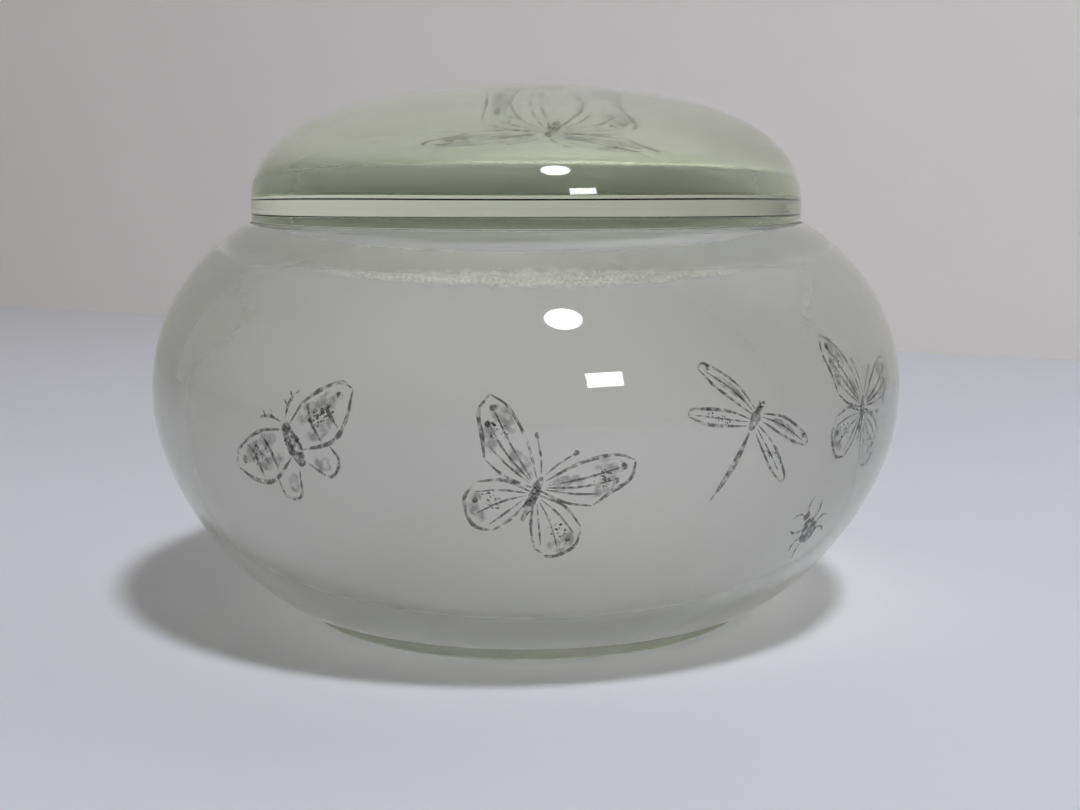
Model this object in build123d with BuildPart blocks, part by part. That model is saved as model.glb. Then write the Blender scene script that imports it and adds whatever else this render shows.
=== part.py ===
"""A squat round jar of thick clear glass with a solid glass lid that drops into its mouth.

Millimetres, +Z up. The origin is the centre of the foot's underside. Both pieces
are turned about the Z axis: each outline is drawn on the XZ plane, outwards from
the axis, and revolved.
"""
import os

from build123d import *

# Jar, outside
body_radius = 45.0  # the belly at its widest
belly_height = 27.1  # height of that widest line above the table
seat_height = 47.0  # the flat ring that carries the lid
seat_width = 4.8  # of that ring, from the mouth to the round shoulder
foot_radius = 27.1
foot_height = 1.6
foot_step = 1.3  # how far the belly starts outside the foot

# Jar, inside
wall = 4.0  # glass at the belly
floor_thickness = 3.6
floor_radius = 21.0  # flat part of the floor
shoulder_thickness = 6.2  # glass above the bend where the wall turns in
mouth_radius = 28.6
neck_length = 4.4  # upright wall of the mouth

# Lid
rim_setback = 0.6  # the lid's foot stands this far inside the seat's edge
lid_bulge = 0.2  # the lid's widest line, outside its foot
lid_belly_height = 1.5  # height of that line above the seat
lid_side_height = 1.0  # the upright side above it, where the dome starts
lid_height = 16.2  # top of the dome above the seat
spigot_clearance = 0.4  # all round, between the spigot and the mouth
spigot_depth = 4.2  # how far the spigot drops into the mouth

# Softened edges
foot_edge = 0.4
foot_root = 0.6
seat_edge = 1.4
mouth_edge = 0.8
cavity_bend = 2.2
lid_edge = 0.4
spigot_edge = 0.9

# Pull of each outline along its tangent, as (outwards, upwards) steps or one upright or level step
belly_start_pull = (5.6, 1.4)  # leaving the foot
belly_lower_pull = 12.0  # upright, below the widest line
belly_upper_pull = 6.4  # upright, above it
shoulder_pull = (8.4, -5.4)  # falling away from the seat
floor_pull = 13.5  # level, where the floor turns up into the wall
cavity_shoulder_pull = (2.8, -4.2)  # falling away from the bend
dome_side_pull = 0.54  # upright, as a part of the dome's rise
dome_top_pull = 0.733  # level, as a part of the dome's radius

shoulder_radius = mouth_radius + seat_width
cavity_radius = body_radius - wall
cavity_top = seat_height - shoulder_thickness
mouth_bottom = seat_height - neck_length
lid_foot_radius = shoulder_radius - rim_setback
lid_radius = lid_foot_radius + lid_bulge
lid_belly = seat_height + lid_belly_height
dome_base = lid_belly + lid_side_height
lid_top = seat_height + lid_height
dome_rise = lid_top - dome_base
spigot_radius = mouth_radius - spigot_clearance
spigot_bottom = seat_height - spigot_depth


def ring(part, radius, height):
    """The part's circular edge nearest to that radius and height."""
    circles = part.edges().filter_by(GeomType.CIRCLE)
    return circles.sort_by(lambda edge: abs(edge.radius - radius) + abs(edge.center().Z - height))[0]


# The jar: foot, belly and shoulder as one thick casting, open at the mouth
with BuildPart() as jar_body:
    with BuildSketch(Plane.XZ):
        with BuildLine():
            belly_start = (foot_radius + foot_step, foot_height)
            Polyline((0, seat_height), (0, 0), (foot_radius, 0), (foot_radius, foot_height), belly_start)
            Bezier(
                belly_start,
                (belly_start[0] + belly_start_pull[0], belly_start[1] + belly_start_pull[1]),
                (body_radius, belly_height - belly_lower_pull),
                (body_radius, belly_height),
            )
            Bezier(
                (body_radius, belly_height),
                (body_radius, belly_height + belly_upper_pull),
                (shoulder_radius + shoulder_pull[0], seat_height + shoulder_pull[1]),
                (shoulder_radius, seat_height),
            )
            Line((shoulder_radius, seat_height), (0, seat_height))
        make_face()
    revolve(axis=Axis.Z)

    with BuildSketch(Plane.XZ):
        with BuildLine():
            Polyline(
                (mouth_radius, seat_height),
                (0, seat_height),
                (0, floor_thickness),
                (floor_radius, floor_thickness),
            )
            Bezier(
                (floor_radius, floor_thickness),
                (floor_radius + floor_pull, floor_thickness),
                (cavity_radius, belly_height - belly_lower_pull),
                (cavity_radius, belly_height),
            )
            Bezier(
                (cavity_radius, belly_height),
                (cavity_radius, belly_height + belly_upper_pull),
                (shoulder_radius + cavity_shoulder_pull[0], cavity_top + cavity_shoulder_pull[1]),
                (shoulder_radius, cavity_top),
            )
            Polyline((shoulder_radius, cavity_top), (mouth_radius, mouth_bottom), (mouth_radius, seat_height))
        make_face()
    revolve(axis=Axis.Z, mode=Mode.SUBTRACT)

    fillet(ring(jar_body, shoulder_radius, cavity_top), cavity_bend)
    fillet(ring(jar_body, mouth_radius, mouth_bottom), mouth_edge)
    fillet(ring(jar_body, mouth_radius, seat_height), mouth_edge)
    fillet(ring(jar_body, shoulder_radius, seat_height), seat_edge)
    fillet(ring(jar_body, foot_radius, foot_height), foot_root)
    fillet(ring(jar_body, foot_radius, 0), foot_edge)
jar_body.part.label = "jar_body"

# The lid: one solid dome, with a flat-bottomed spigot under it that centres it in the mouth
with BuildPart() as lid:
    with BuildSketch(Plane.XZ):
        with BuildLine():
            Polyline(
                (0, lid_top),
                (0, spigot_bottom),
                (spigot_radius, spigot_bottom),
                (spigot_radius, seat_height),
                (lid_foot_radius, seat_height),
            )
            Bezier(
                (lid_foot_radius, seat_height),
                (lid_foot_radius + lid_bulge / 2, seat_height + lid_belly_height / 3),
                (lid_radius, lid_belly - lid_belly_height / 3),
                (lid_radius, lid_belly),
            )
            Line((lid_radius, lid_belly), (lid_radius, dome_base))
            Bezier(
                (lid_radius, dome_base),
                (lid_radius, dome_base + dome_side_pull * dome_rise),
                (dome_top_pull * lid_radius, lid_top),
                (0, lid_top),
            )
        make_face()
    revolve(axis=Axis.Z)

    fillet(ring(lid, lid_foot_radius, seat_height), lid_edge)
    fillet(ring(lid, spigot_radius, spigot_bottom), spigot_edge)
lid.part.label = "lid"

os.makedirs("parts", exist_ok=True)
export_step(jar_body.part, "parts/jar_body.step")
export_step(lid.part, "parts/lid.step")
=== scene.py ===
"""A squat covered jar of thick clear glass, ground satin and painted in ink on its inner faces."""
import math
import random

import bpy
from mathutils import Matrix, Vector


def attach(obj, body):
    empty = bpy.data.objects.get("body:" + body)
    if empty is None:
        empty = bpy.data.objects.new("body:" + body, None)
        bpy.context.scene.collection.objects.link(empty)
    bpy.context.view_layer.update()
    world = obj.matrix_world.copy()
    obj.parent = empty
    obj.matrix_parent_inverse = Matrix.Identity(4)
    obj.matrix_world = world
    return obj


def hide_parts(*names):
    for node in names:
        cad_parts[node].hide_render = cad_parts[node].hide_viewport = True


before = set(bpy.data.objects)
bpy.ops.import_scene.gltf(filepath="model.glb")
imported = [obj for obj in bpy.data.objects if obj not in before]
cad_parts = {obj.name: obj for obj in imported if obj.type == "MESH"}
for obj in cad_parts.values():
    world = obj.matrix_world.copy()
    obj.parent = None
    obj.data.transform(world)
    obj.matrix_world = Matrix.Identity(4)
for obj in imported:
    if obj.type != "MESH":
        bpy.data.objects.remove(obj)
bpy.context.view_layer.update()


# ---------------------------------------------------------------- camera
# A close view from across a table, a little above the lid's foot and looking slightly down.
# The jar stands a touch left of the middle.
bpy.ops.object.camera_add(
    location=(0.0, -0.1942, 0.0534), rotation=(math.radians(81.47), 0.0, math.radians(-0.49))
)
camera = bpy.context.object
camera.name = "camera"
camera.data.sensor_width = 36.0
camera.data.lens = 52.8
camera.data.clip_start = 0.01
bpy.context.scene.camera = camera


# ---------------------------------------------------------------- table and wall
# A pale paper-covered table top in front of a plain warm-grey wall that runs away to the left.
# The jar's foot stands a hair clear of the paper, as glass does on its fibres.
def plain_finish(name, colour, roughness):
    """A matt surface with a faint cloudiness, as on paper or painted plaster."""
    finish = bpy.data.materials.new(name)
    finish.use_nodes = True
    nodes, links = finish.node_tree.nodes, finish.node_tree.links
    shader = nodes["Principled BSDF"]
    shader.inputs["Roughness"].default_value = roughness
    place = nodes.new("ShaderNodeTexCoord")
    cloud = nodes.new("ShaderNodeTexNoise")
    cloud.inputs["Scale"].default_value = 14.0
    cloud.inputs["Detail"].default_value = 4.0
    links.new(place.outputs["Object"], cloud.inputs["Vector"])
    tint = nodes.new("ShaderNodeMix")
    tint.data_type = "RGBA"
    tint.inputs["A"].default_value = (*[0.97 * part for part in colour], 1.0)
    tint.inputs["B"].default_value = (*colour, 1.0)
    links.new(cloud.outputs["Fac"], tint.inputs["Factor"])
    links.new(tint.outputs["Result"], shader.inputs["Base Color"])
    return finish


paper_gap = 0.00005
wall_turn = math.radians(-26.0)
bpy.ops.mesh.primitive_plane_add(size=3.0, location=(0.0, 0.0, -paper_gap))
table = bpy.context.object
table.name = "table_top"
table.data.materials.append(plain_finish("pale_paper", (0.76, 0.77, 0.82), 0.6))
bpy.ops.mesh.primitive_plane_add(
    size=3.0, location=(0.0, 0.32, 0.0), rotation=(math.radians(90.0), 0.0, wall_turn)
)
wall = bpy.context.object
wall.name = "wall"
wall.data.materials.append(plain_finish("warm_wall", (0.93, 0.90, 0.86), 0.9))


# ---------------------------------------------------------------- light
# One soft ceiling light from the right front casts the shadow, and the room's glow fades to the right.
# Two small lights show only as the crisp reflections that polished glass gives of a lamp and a window.
# Two more show only through the glass: the bright ceiling, and the light that catches the shoulder.
def area_light(name, shape, size, place, power, colour):
    """A light aimed at the jar's middle."""
    bpy.ops.object.light_add(type="AREA", location=place)
    lamp = bpy.context.object
    lamp.name = name
    lamp.data.shape = shape
    lamp.data.size, lamp.data.size_y = size
    lamp.data.energy = power
    lamp.data.color = colour
    lamp.rotation_euler = (Vector((0.0, 0.0, 0.03)) - Vector(place)).to_track_quat("-Z", "Y").to_euler()
    return lamp


ceiling = area_light("ceiling_light", "ELLIPSE", (0.11, 0.11), (0.16, -0.34, 0.75), 3.6, (0.95, 0.98, 1.05))
ceiling.visible_glossy = False
ceiling.visible_transmission = False
lamp = area_light("lamp_glint", "ELLIPSE", (0.021, 0.026), (0.020, -0.097, 0.129), 0.035, (0.93, 0.98, 1.0))
window = area_light("window_glint", "RECTANGLE", (0.066, 0.046), (0.134, -0.335, 0.166), 0.2, (1.0, 1.0, 1.0))
for glint in (lamp, window):
    glint.visible_diffuse = False
    glint.visible_transmission = False

glow = area_light("ceiling_glow", "RECTANGLE", (0.9, 0.9), (-0.25, -0.15, 0.9), 8.0, (1.0, 0.98, 0.94))
glow.visible_diffuse = False
glow.visible_glossy = False
streak = area_light("shoulder_streak", "ELLIPSE", (0.12, 0.12), (0.03, -0.22, 0.60), 0.5, (1.0, 1.0, 0.98))
streak.visible_diffuse = False
streak.visible_glossy = False

room = bpy.data.worlds.new("room")
bpy.context.scene.world = room
room.use_nodes = True
room_nodes, room_links = room.node_tree.nodes, room.node_tree.links
room_way = room_nodes.new("ShaderNodeSeparateXYZ")
room_links.new(room_nodes.new("ShaderNodeTexCoord").outputs["Generated"], room_way.inputs["Vector"])
room_glow = room_nodes.new("ShaderNodeMapRange")
room_glow.inputs["From Min"].default_value = -1.0
room_glow.inputs["To Min"].default_value = 0.29
room_glow.inputs["To Max"].default_value = 0.05
room_links.new(room_way.outputs["X"], room_glow.inputs["Value"])
room_nodes["Background"].inputs["Color"].default_value = (1.0, 0.95, 0.90, 1.0)
room_links.new(room_glow.outputs["Result"], room_nodes["Background"].inputs["Strength"])
bpy.context.scene.view_settings.view_transform = "Standard"


# ---------------------------------------------------------------- jar body
# The jar is one thick casting of soda glass, with its outside and the underside of its foot polished.
# Its outline is drawn from the foot round to the floor of the cavity and spun about the upright axis.
# The floor and wall of the cavity, the underside of the shoulder, the mouth and the seat are ground satin.
MM = 0.001
foot_radius = 27.1
foot_height = 1.6
foot_step = 1.3
body_radius = 45.0
belly_height = 27.1
seat_height = 47.0
mouth_radius = 28.6
neck_foot = 42.6
shoulder_radius = 33.4
bend_height = 40.8
hollow_radius = 41.0
floor_radius = 21.0
floor_height = 3.6
floor_pull = 13.5
lower_pull = 12.0
upper_pull = 6.4
bend_pull = (2.8, -4.2)
corner_pull = 0.55
cavity_lower = (
    (floor_radius, floor_height),
    (floor_radius + floor_pull, floor_height),
    (hollow_radius, belly_height - lower_pull),
    (hollow_radius, belly_height),
)
cavity_upper = (
    (hollow_radius, belly_height),
    (hollow_radius, belly_height + upper_pull),
    (shoulder_radius + bend_pull[0], bend_height + bend_pull[1]),
    (shoulder_radius, bend_height),
)


def turned(name, outline, steps=320):
    """Spins a closed piece from its outline in millimetres.

    A row of the outline is (radius, height, rounding, pull in, pull out). A pull is the
    step from the point to its curve handle, and None where the run there is straight.
    """
    knots = []
    for place, (radius, height, rounding, pull_in, pull_out) in enumerate(outline):
        point = Vector((radius, 0.0, height))
        ways = []
        for pull, step in ((pull_in, -1), (pull_out, 1)):
            beside = outline[(place + step) % len(outline)]
            straight = (Vector((beside[0], 0.0, beside[1])) - point) / 3.0
            ways.append(straight if pull is None else Vector((pull[0], 0.0, pull[1])))
        if rounding == 0.0:
            knots.append((point, point + ways[0], point + ways[1]))
            continue
        before, after = [point + way.normalized() * rounding for way in ways]
        knots.append((before, before + ways[0], before.lerp(point, corner_pull)))
        knots.append((after, after.lerp(point, corner_pull), after + ways[1]))
    bpy.ops.object.select_all(action="DESELECT")
    bpy.ops.curve.primitive_bezier_curve_add(location=(0.0, 0.0, 0.0))
    piece = bpy.context.object
    piece.name = name
    spline = piece.data.splines[0]
    spline.resolution_u = 14
    spline.bezier_points.add(len(knots) - len(spline.bezier_points))
    for bezier_point, (knot, left, right) in zip(spline.bezier_points, knots):
        bezier_point.handle_left_type = bezier_point.handle_right_type = "FREE"
        bezier_point.co = knot * MM
        bezier_point.handle_left = left * MM
        bezier_point.handle_right = right * MM
    bpy.ops.object.convert(target="MESH")
    bpy.ops.object.mode_set(mode="EDIT")
    bpy.ops.mesh.select_all(action="SELECT")
    bpy.ops.mesh.spin(steps=steps, angle=math.tau, center=(0.0, 0.0, 0.0), axis=(0.0, 0.0, 1.0))
    bpy.ops.mesh.select_all(action="SELECT")
    bpy.ops.mesh.remove_doubles(threshold=0.000002)
    bpy.ops.mesh.normals_make_consistent(inside=False)
    bpy.ops.object.mode_set(mode="OBJECT")
    bpy.ops.object.shade_smooth_by_angle(angle=math.radians(35.0))
    return piece


def value_group(name, inputs, outputs):
    """A node group of plain values, as (group, what it is given, what it results in)."""
    group = bpy.data.node_groups.new(name, "ShaderNodeTree")
    for socket, value in inputs:
        made = group.interface.new_socket(name=socket, in_out="INPUT", socket_type="NodeSocketFloat")
        made.default_value = value
    for socket in outputs:
        group.interface.new_socket(name=socket, in_out="OUTPUT", socket_type="NodeSocketFloat")
    return group, group.nodes.new("NodeGroupInput").outputs, group.nodes.new("NodeGroupOutput").inputs


def worked(group, operation, *values, clamp=False):
    """One step of a group's arithmetic on sockets and plain numbers."""
    node = group.nodes.new("ShaderNodeMath")
    node.operation = operation
    node.use_clamp = clamp
    for socket, value in zip(node.inputs, values):
        if isinstance(value, (int, float)):
            socket.default_value = value
        else:
            group.links.new(value, socket)
    return node.outputs["Value"]


def satin_ground_group():
    """The satin left by wheel grinding inside a barrel-shaped zone of a piece, and its faint cloudiness."""
    group, given, result = value_group("satin_ground", (
        ("Zone Radius", 0.04), ("Zone Middle", 0.02), ("Zone Half Height", 0.02),
        ("Squareness", 3.0), ("Neck Radius", 0.0), ("Neck Foot", 0.0), ("Satin", 0.5),
    ), ("Roughness", "Height"))
    nodes, links = group.nodes, group.links
    place = nodes.new("ShaderNodeTexCoord").outputs["Object"]
    split = nodes.new("ShaderNodeSeparateXYZ")
    links.new(place, split.inputs["Vector"])
    across = worked(group, "MULTIPLY", split.outputs["X"], split.outputs["X"])
    along = worked(group, "MULTIPLY", split.outputs["Y"], split.outputs["Y"])
    radius = worked(group, "SQRT", worked(group, "ADD", across, along))
    outward = worked(group, "DIVIDE", radius, given["Zone Radius"])
    outward = worked(group, "POWER", outward, given["Squareness"])
    rise = worked(group, "ABSOLUTE", worked(group, "SUBTRACT", split.outputs["Z"], given["Zone Middle"]))
    upward = worked(group, "DIVIDE", rise, given["Zone Half Height"])
    upward = worked(group, "POWER", upward, given["Squareness"])
    reach = worked(group, "ADD", outward, upward)
    slim = worked(group, "LESS_THAN", radius, given["Neck Radius"])
    high = worked(group, "GREATER_THAN", split.outputs["Z"], given["Neck Foot"])
    neck = worked(group, "MULTIPLY", slim, high)
    inside = worked(group, "MAXIMUM", worked(group, "LESS_THAN", reach, 1.0), neck)
    cloud = nodes.new("ShaderNodeTexNoise")
    cloud.inputs["Scale"].default_value = 260.0
    cloud.inputs["Detail"].default_value = 5.0
    cloud.inputs["Roughness"].default_value = 0.65
    links.new(place, cloud.inputs["Vector"])
    uneven = worked(group, "ADD", worked(group, "MULTIPLY", cloud.outputs["Fac"], 0.30), 0.85)
    satin = worked(group, "MULTIPLY", uneven, given["Satin"])
    links.new(worked(group, "MULTIPLY", satin, inside), result["Roughness"])
    deep = worked(group, "MULTIPLY", worked(group, "SUBTRACT", 1.0, reach), 4.0)
    deep = worked(group, "MAXIMUM", worked(group, "MINIMUM", deep, 1.0), 0.0)
    links.new(worked(group, "MULTIPLY", cloud.outputs["Fac"], deep), result["Height"])
    return group


def ground_glass(name, zone, satin, tint, density):
    """Faintly green cast glass, polished except inside the ground zone."""
    glass = bpy.data.materials.new(name)
    glass.use_nodes = True
    nodes, links = glass.node_tree.nodes, glass.node_tree.links
    shader = nodes["Principled BSDF"]
    shader.inputs["Base Color"].default_value = (1.0, 1.0, 1.0, 1.0)
    shader.inputs["IOR"].default_value = 1.5
    shader.inputs["Transmission Weight"].default_value = 1.0
    grinding = nodes.new("ShaderNodeGroup")
    grinding.node_tree = bpy.data.node_groups["satin_ground"]
    for socket, value in zip(
        ("Zone Radius", "Zone Middle", "Zone Half Height", "Squareness", "Neck Radius", "Neck Foot"), zone
    ):
        grinding.inputs[socket].default_value = value
    grinding.inputs["Satin"].default_value = satin
    links.new(grinding.outputs["Roughness"], shader.inputs["Roughness"])
    ripple = nodes.new("ShaderNodeBump")
    ripple.inputs["Strength"].default_value = 0.03
    ripple.inputs["Distance"].default_value = 0.0004
    links.new(grinding.outputs["Height"], ripple.inputs["Height"])
    links.new(ripple.outputs["Normal"], shader.inputs["Normal"])
    absorption = nodes.new("ShaderNodeVolumeAbsorption")
    absorption.inputs["Color"].default_value = (*tint, 1.0)
    absorption.inputs["Density"].default_value = density
    links.new(absorption.outputs["Volume"], nodes["Material Output"].inputs["Volume"])
    return glass


satin_ground_group()
jar = turned("jar_glass", [
    (0.0, 0.0, 0.0, None, None),
    (foot_radius, 0.0, 0.4, None, None),
    (foot_radius, foot_height, 0.5, None, None),
    (foot_radius + foot_step, foot_height, 0.0, None, (5.6, 1.4)),
    (body_radius, belly_height, 0.0, (0.0, -lower_pull), (0.0, upper_pull)),
    (shoulder_radius, seat_height, 0.7, (8.4, -5.4), None),
    (mouth_radius, seat_height, 0.8, None, None),
    (mouth_radius, neck_foot, 0.8, None, None),
    (shoulder_radius, bend_height, 1.0, None, bend_pull),
    (hollow_radius, belly_height, 0.0, (0.0, upper_pull), (0.0, -lower_pull)),
    (floor_radius, floor_height, 0.0, (floor_pull, 0.0), None),
    (0.0, floor_height, 0.0, None, None),
])
jar.data.materials.append(
    ground_glass("jar_glass", (0.0420, 0.0253, 0.0247, 2.7, 0.0332, 0.0400), 0.60, (0.85, 0.95, 0.62), 15.0)
)
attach(jar, "jar")
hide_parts("jar_body")


# ---------------------------------------------------------------- lid
# A solid dome of the same glass, like a paperweight, that rests on the jar's seat.
# The flat-bottomed spigot under it drops into the mouth; its underside is ground satin and painted.
lid_radius = 33.0
dome_base = 49.5
lid_top = 63.2
dome_rise = lid_top - dome_base
seat_gap = 0.06
lid_foot = seat_height + seat_gap
spigot_clearance = 0.4
spigot_depth = 4.2
spigot_radius = mouth_radius - spigot_clearance
spigot_bottom = seat_height - spigot_depth
dome_side_pull = 0.54
dome_top_pull = 0.733
lid = turned("lid_glass", [
    (0.0, spigot_bottom, 0.0, None, None),
    (spigot_radius, spigot_bottom, 0.9, None, None),
    (spigot_radius, lid_foot, 0.0, None, None),
    (lid_radius, lid_foot, 0.15, None, None),
    (lid_radius, dome_base, 0.0, None, (0.0, dome_side_pull * dome_rise)),
    (0.0, lid_top, 0.0, (dome_top_pull * lid_radius, 0.0), None),
])
lid.data.materials.append(
    ground_glass("lid_glass", (0.0290, 0.0428, 0.00418, 30.0), 0.52, (0.85, 0.96, 0.64), 10.0)
)
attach(lid, "lid")
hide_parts("lid")


# ---------------------------------------------------------------- paintings
# Insects brushed in thin grey-black ink on the ground inner wall, so that they show through the glass.
# Each insect is a set of tapered ribbons, one for each touch of the brush, laid just on the glass side
# of the wall. Sizes are in millimetres along the wall, from the insect's own middle.
ink_lift = 0.04
lowest_ink, highest_ink = 6.5, bend_height - 0.3
tone_weights = (1.45, 1.15)
tone_columns = (1, 6)
dot_crowding = 20.0
dot_sides = 6


def bezier_at(points, part):
    """The point of a curve span at a part of its way."""
    level = [Vector(point) for point in points]
    while len(level) > 1:
        level = [a.lerp(b, part) for a, b in zip(level, level[1:])]
    return level[0]


def cavity_radius(height):
    """The radius of the cavity's wall at a height."""
    span = cavity_lower if height < cavity_lower[-1][1] else cavity_upper
    low, high = 0.0, 1.0
    for _ in range(24):
        middle = (low + high) / 2.0
        if bezier_at(span, middle).y < height:
            low = middle
        else:
            high = middle
    return bezier_at(span, low).x


def on_wall(angle, height, turn=0.0, size=1.0, flip=1.0):
    """Gives the function that lays a flat (across, up) sketch on the wall round a middle point."""
    def lay(across, up):
        across *= flip * size
        up *= size
        swing = math.radians(turn)
        along = across * math.cos(swing) - up * math.sin(swing)
        rise = height + across * math.sin(swing) + up * math.cos(swing)
        radius = cavity_radius(max(lowest_ink, min(rise, highest_ink)))
        way = math.radians(angle) + along / cavity_radius(height)
        radius += ink_lift
        return (radius * math.sin(way), -radius * math.cos(way), rise)
    return lay


def along_touch(points, steps):
    """A smooth line through the points of one brush touch, as (point, direction, part of the way)."""
    line = [Vector(point) for point in points]
    ends = [line[0] * 2 - line[1]] + line + [line[-1] * 2 - line[-2]]
    spots = []
    for span in range(len(line) - 1):
        a, b, c, d = ends[span:span + 4]
        for step in range(steps + (span == len(line) - 2)):
            t = step / steps
            bow, sway = 2 * a - 5 * b + 4 * c - d, 3 * b - 3 * c + d - a
            spot = 0.5 * (2 * b + (c - a) * t + bow * t**2 + sway * t**3)
            heading = (c - a) + 2 * bow * t + 3 * sway * t**2
            spots.append((spot, heading.normalized(), (span + t) / (len(line) - 1)))
    return spots


def painted(name, touches, lay, body, seed, finishes):
    """Makes one painted insect or painted highlight strip from its brush touches and lays it on the glass.

    A touch is (tone, width, points). Tone 0 is a line, 1 a thin wash and 2 a patch of fine dots,
    whose two points are its middle and its half sizes and whose width is a dot's size.
    """
    chance = random.Random(seed)
    vertices, faces, spans, tones = [], [], [], []

    def ribbon(points, width, tone):
        columns = tone_columns[tone]
        rows = along_touch(points, 5)
        first = len(vertices)
        for spot, heading, part in rows:
            side = Vector((-heading.y, heading.x))
            taper = 0.30 + 0.70 * math.sin(math.pi * min(max(part, 0.03), 0.97)) ** 0.7
            half = 0.5 * width * tone_weights[tone] * taper * chance.uniform(0.75, 1.2)
            for column in range(columns + 1):
                place = spot + side * half * (2.0 * column / columns - 1.0)
                vertices.append(lay(place.x, place.y))
                spans.append((part, column / columns))
        for row in range(len(rows) - 1):
            for column in range(columns):
                corner = first + row * (columns + 1) + column
                faces.append((corner, corner + 1, corner + columns + 2, corner + columns + 1))
                tones.append(tone)

    def dots(middle, reach, size):
        count = max(8, int(dot_crowding * reach[0] * reach[1]))
        for _ in range(count):
            way, far = chance.uniform(0.0, math.tau), chance.uniform(0.0, 1.0) ** 0.7
            x = middle[0] + reach[0] * far * math.cos(way)
            y = middle[1] + reach[1] * far * math.sin(way)
            half = 0.5 * size * chance.uniform(0.5, 1.7)
            first = len(vertices)
            for corner in range(dot_sides):
                turn = math.tau * corner / dot_sides
                vertices.append(lay(x + half * math.cos(turn), y + half * 0.8 * math.sin(turn)))
                spans.append((0.5, 0.5))
            faces.append(tuple(range(first, first + dot_sides)))
            tones.append(0)

    for tone, width, points in touches:
        if tone == 2:
            dots(points[0], points[1], width)
        else:
            ribbon(points, width, tone)
    mesh = bpy.data.meshes.new(name)
    mesh.from_pydata([Vector(vertex) * MM for vertex in vertices], [], faces)
    chart = mesh.uv_layers.new(name="touch")
    for loop in mesh.loops:
        chart.data[loop.index].uv = spans[loop.vertex_index]
    piece = bpy.data.objects.new(name, mesh)
    bpy.context.scene.collection.objects.link(piece)
    for finish in finishes:
        mesh.materials.append(finish)
    for polygon, tone in zip(mesh.polygons, tones):
        polygon.material_index = tone
        polygon.use_smooth = True
        outward = Vector((polygon.center.x, polygon.center.y, 0.0))
        if body == "lid":
            outward = Vector((0.0, 0.0, 1.0))
        if polygon.normal.dot(outward) < 0.0:
            polygon.flip()
    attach(piece, body)
    return piece


def dry_brush_group():
    """How a half-dry brush covers: broken by the satin's grain and thinner at a touch's edges."""
    group, given, result = value_group(
        "dry_brush", (("Cover", 0.8), ("Breaks", 1.0), ("Grain", 1500.0), ("Edge", 0.3)), ("Alpha",)
    )
    nodes, links = group.nodes, group.links
    grain = nodes.new("ShaderNodeTexNoise")
    grain.inputs["Detail"].default_value = 3.0
    links.new(given["Grain"], grain.inputs["Scale"])
    links.new(nodes.new("ShaderNodeTexCoord").outputs["Object"], grain.inputs["Vector"])
    chart = nodes.new("ShaderNodeUVMap")
    chart.uv_map = "touch"
    split = nodes.new("ShaderNodeSeparateXYZ")
    links.new(chart.outputs["UV"], split.inputs["Vector"])
    fades = []
    for axis in ("X", "Y"):
        rest = worked(group, "SUBTRACT", 1.0, split.outputs[axis])
        fades.append(worked(group, "MULTIPLY", worked(group, "MULTIPLY", split.outputs[axis], rest), 4.0))
    middle = worked(group, "MULTIPLY", fades[0], fades[1])
    edge = worked(group, "DIVIDE", middle, given["Edge"], clamp=True)
    gaps = worked(group, "MULTIPLY", worked(group, "SUBTRACT", grain.outputs["Fac"], 0.5), given["Breaks"])
    cover = worked(group, "ADD", worked(group, "MULTIPLY", gaps, 4.0), given["Cover"], clamp=True)
    links.new(worked(group, "MULTIPLY", cover, edge), result["Alpha"])
    return group


def ink(name, colour, cover, breaks, grain, edge, strength):
    """Thin paint on glass, which covers as a dry brush leaves it."""
    paint = bpy.data.materials.new(name)
    paint.use_nodes = True
    nodes, links = paint.node_tree.nodes, paint.node_tree.links
    shader = nodes["Principled BSDF"]
    shader.inputs["Base Color"].default_value = (*colour, 1.0)
    shader.inputs["Roughness"].default_value = 0.8
    brush = nodes.new("ShaderNodeGroup")
    brush.node_tree = bpy.data.node_groups["dry_brush"]
    for socket, value in zip(("Cover", "Breaks", "Grain", "Edge"), (cover, breaks, grain, edge)):
        brush.inputs[socket].default_value = value
    thin = nodes.new("ShaderNodeMath")
    thin.operation = "MULTIPLY"
    thin.inputs[1].default_value = strength
    links.new(brush.outputs["Alpha"], thin.inputs[0])
    links.new(thin.outputs["Value"], shader.inputs["Alpha"])
    return paint


dry_brush_group()
line_ink = ink("line_ink", (0.030, 0.030, 0.026), 0.72, 1.0, 1500.0, 0.14, 0.80)
wash_ink = ink("wash_ink", (0.07, 0.07, 0.06), 0.62, 1.0, 1300.0, 0.45, 0.50)
wall_inks = (line_ink, wash_ink)
faded_line = ink("faded_line_ink", (0.030, 0.030, 0.026), 0.62, 1.0, 1500.0, 0.30, 0.38)
faded_wash = ink("faded_wash_ink", (0.07, 0.07, 0.06), 0.55, 1.0, 1300.0, 0.60, 0.25)
lid_inks = (faded_line, faded_wash)


def both_sides(half):
    """A half insect's touches, and the same touches on the other side of its body."""
    other = []
    for tone, width, points in half:
        if tone == 2:
            other.append((tone, width, ((-points[0][0], points[0][1]), points[1])))
        else:
            other.append((tone, width, tuple((-across, up) for across, up in points)))
    return half + other


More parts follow.
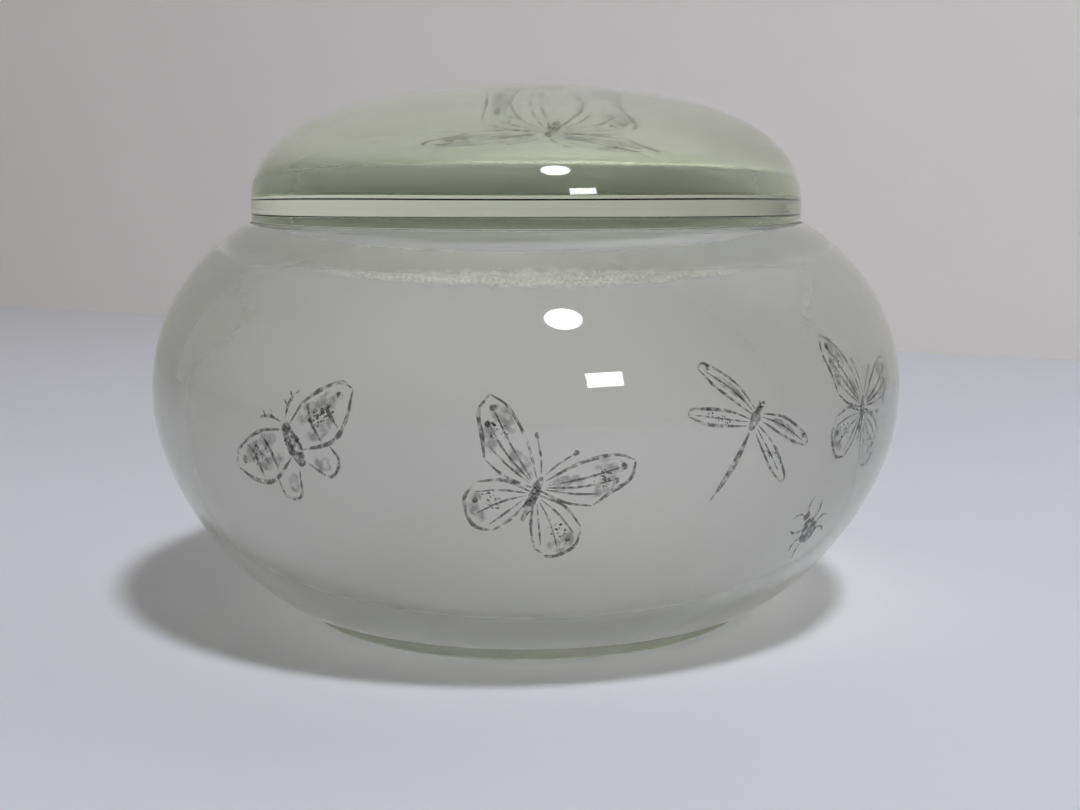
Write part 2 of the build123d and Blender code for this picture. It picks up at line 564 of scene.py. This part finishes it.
# Plain textbook insects seen from above, each a body and one half that is painted on both sides.
butterfly = [
    (0, 0.80, ((0.0, 2.2), (0.0, -0.6), (0.0, -3.4))),
    (2, 0.26, ((0.0, 0.4), (0.7, 1.6))),
] + both_sides([
    (0, 0.28, ((0.3, 1.5), (3.0, 4.9), (6.2, 7.3), (8.7, 7.7))),
    (0, 0.34, ((8.7, 7.7), (9.0, 5.6), (7.6, 3.4), (6.4, 1.3))),
    (0, 0.26, ((6.4, 1.3), (3.6, 0.5), (0.4, 0.6))),
    (0, 0.28, ((0.4, 0.1), (3.6, 0.1), (6.4, -1.4))),
    (0, 0.34, ((6.4, -1.4), (6.7, -3.8), (4.8, -6.0), (2.6, -5.8))),
    (0, 0.26, ((2.6, -5.8), (1.2, -3.6), (0.3, -0.9))),
    (1, 1.70, ((4.4, 5.2), (6.8, 6.3), (8.0, 6.2))),
    (1, 1.50, ((7.7, 5.6), (6.8, 3.8), (5.8, 2.2))),
    (1, 1.60, ((5.6, -2.0), (5.4, -4.0), (3.6, -5.0))),
    (1, 1.90, ((1.0, 1.4), (2.8, 2.6), (4.4, 3.6))),
    (0, 0.18, ((0.8, 1.3), (4.2, 3.7), (7.9, 6.7))),
    (0, 0.18, ((0.8, 1.1), (4.6, 2.9), (7.6, 5.0))),
    (0, 0.18, ((0.8, 0.9), (3.8, 1.7), (6.5, 2.8))),
    (0, 0.18, ((0.8, -0.2), (3.4, -1.0), (6.0, -2.4))),
    (0, 0.18, ((0.8, -0.5), (2.9, -2.2), (5.0, -4.7))),
    (0, 0.18, ((0.7, -0.8), (1.9, -3.0), (3.2, -5.3))),
    (0, 0.55, ((7.4, 6.8), (8.1, 6.4))),
    (0, 0.50, ((7.3, 5.0), (7.9, 4.7))),
    (0, 0.50, ((5.3, -3.3), (5.9, -3.2))),
    (2, 0.24, ((6.2, 4.6), (1.3, 1.0))),
    (2, 0.24, ((4.0, -2.6), (1.2, 1.0))),
    (0, 0.18, ((0.2, 2.3), (1.0, 4.0), (2.3, 5.9))),
    (0, 0.40, ((2.1, 5.6), (2.5, 6.2))),
])
moth = [
    (0, 1.30, ((0.0, 2.0), (0.0, -0.4), (0.0, -2.8))),
    (2, 0.28, ((0.0, 0.0), (1.0, 1.8))),
] + both_sides([
    (0, 0.30, ((0.5, 1.5), (3.6, 2.7), (7.4, 2.5), (8.8, 1.2))),
    (0, 0.34, ((8.8, 1.2), (6.9, -1.1), (4.4, -2.2), (0.7, -1.3))),
    (0, 0.26, ((3.9, -2.2), (4.1, -4.2), (2.3, -5.0), (0.6, -2.6))),
    (1, 2.00, ((1.5, 1.3), (4.4, 1.4), (7.3, 1.3))),
    (1, 1.60, ((1.6, -0.6), (3.8, -0.6), (5.9, -0.2))),
    (1, 1.60, ((1.4, -2.8), (2.4, -3.6), (3.2, -3.6))),
    (0, 0.30, ((5.9, 2.4), (5.4, 0.8), (5.7, -1.4))),
    (0, 0.26, ((3.5, 2.3), (3.1, 0.6), (3.3, -1.8))),
    (0, 0.45, ((7.0, 1.7), (7.4, 0.9))),
    (2, 0.26, ((4.4, 0.6), (1.6, 1.2))),
    (0, 0.24, ((0.3, 2.2), (1.5, 3.4), (3.1, 3.9))),
    (0, 0.16, ((1.2, 3.1), (1.0, 3.9))),
    (0, 0.16, ((2.0, 3.6), (2.0, 4.3))),
])
dragonfly = [
    (0, 0.90, ((0.0, 3.2), (0.0, 1.6), (0.0, 0.0))),
    (0, 0.50, ((0.0, 0.0), (0.2, -4.4), (0.0, -9.0))),
    (2, 0.26, ((0.0, 3.4), (0.7, 0.5))),
] + both_sides([
    (0, 0.24, ((0.4, 2.4), (4.0, 3.7), (8.2, 3.6), (9.0, 2.7))),
    (0, 0.24, ((9.0, 2.7), (6.0, 2.0), (0.4, 1.7))),
    (0, 0.24, ((0.4, 1.2), (4.0, 0.4), (7.8, -1.5), (8.0, -2.5))),
    (0, 0.24, ((8.0, -2.5), (5.0, -1.9), (0.4, 0.4))),
    (0, 0.16, ((0.6, 2.1), (4.0, 2.8), (8.2, 2.9))),
    (0, 0.16, ((0.6, 0.8), (4.0, -0.6), (7.4, -2.0))),
    (0, 0.45, ((7.4, 3.5), (8.1, 3.4))),
    (1, 0.90, ((2.0, 2.6), (4.6, 2.9), (7.0, 2.8))),
    (2, 0.20, ((4.4, -0.7), (2.0, 0.5))),
])
beetle = [
    (0, 1.90, ((0.0, 1.7), (0.0, 0.0), (0.0, -2.0))),
    (0, 0.90, ((0.0, 1.8), (0.0, 2.8))),
] + both_sides([
    (0, 0.22, ((0.9, 0.9), (2.0, 1.5), (2.5, 2.5))),
    (0, 0.22, ((1.0, 0.0), (2.3, 0.0), (3.0, -0.7))),
    (0, 0.22, ((0.9, -0.9), (2.0, -1.7), (2.3, -2.9))),
    (0, 0.16, ((0.2, 2.6), (0.8, 3.5), (1.8, 3.9))),
])

# Each insect's place on the wall: its angle from the front, height, turn, size and which way it faces.
insects = (
    ("moth_front_left", moth, (-34.0, 26.0, 30.0, 0.98, 1.0)),
    ("butterfly_front", butterfly, (1.0, 22.0, -24.0, 0.88, 1.0)),
    ("dragonfly_front_right", dragonfly, (32.0, 27.0, -32.0, 0.86, 1.0)),
    ("butterfly_right", butterfly, (57.0, 27.0, -14.0, 0.80, 1.0)),
    ("beetle_right", beetle, (49.0, 15.5, 40.0, 0.95, 1.0)),
    ("moth_right", moth, (96.0, 24.0, 24.0, 0.95, -1.0)),
    ("dragonfly_back", dragonfly, (139.0, 24.0, 20.0, 0.95, 1.0)),
    ("butterfly_back", butterfly, (176.0, 25.0, -30.0, 0.90, -1.0)),
    ("beetle_back", beetle, (-166.0, 13.5, 60.0, 1.10, 1.0)),
    ("moth_back", moth, (-146.0, 24.0, -22.0, 1.00, 1.0)),
    ("butterfly_left", butterfly, (-100.0, 25.0, 30.0, 0.85, -1.0)),
)
for seed, (name, touches, (angle, height, turn, size, flip)) in enumerate(insects):
    painted(name, touches, on_wall(angle, height, turn, size, flip), "jar", seed, wall_inks)


# ---------------------------------------------------------------- painted highlight along the bend
# A painted highlight: a thin pale strip just inside the glass, where the wall turns in under the shoulder.
# It stands in for the light that gathers along the bend, and wavers as a hand-ground edge does.
bend_inward, bend_upward = 0.81, 0.59


def on_bend(angle):
    """Gives the function that lays a flat sketch along the bend."""
    def lay(across, up):
        radius = shoulder_radius - bend_inward * up
        way = math.radians(angle) + across / shoulder_radius
        return (radius * math.sin(way), -radius * math.cos(way), bend_height + bend_upward * up)
    return lay


# The painted highlight: pale paint laid in strips along the bend at four places round the jar.
highlight_paint = ink("grinding_chalk", (0.92, 0.92, 0.89), 0.80, 0.30, 3000.0, 0.95, 0.80)
bend_arc = [(x, 0.1 * math.sin(0.9 * x)) for x in range(-24, 27, 3)]
highlight_touches = [
    (1, 2.3, bend_arc[2:-1]),
    (1, 1.3, [(x, up - 0.2) for x, up in bend_arc]),
    (1, 1.2, [(x, up + 0.1) for x, up in bend_arc[5:-3]]),
]
for place, angle in (("front", 2.0), ("right", 107.0), ("back", 181.0), ("left", -103.0)):
    painted("grinding_" + place, highlight_touches, on_bend(angle), "jar", 31, (highlight_paint, highlight_paint))


# ---------------------------------------------------------------- paintings under the lid
# Two fainter insects lie on the spigot's satin underside, where the dome spreads them across the lid.
def on_underside(x, y, turn, size):
    """Gives the function that lays a flat sketch on the lid's underside round a middle point."""
    def lay(across, up):
        swing = math.radians(turn)
        return (
            x + size * (across * math.cos(swing) - up * math.sin(swing)),
            y + size * (across * math.sin(swing) + up * math.cos(swing)),
            spigot_bottom + ink_lift,
        )
    return lay


painted("butterfly_lid", butterfly, on_underside(2.0, 11.0, 12.0, 0.95), "lid", 21, lid_inks)
painted("moth_lid", moth, on_underside(1.0, -11.0, 160.0, 0.9), "lid", 22, lid_inks)
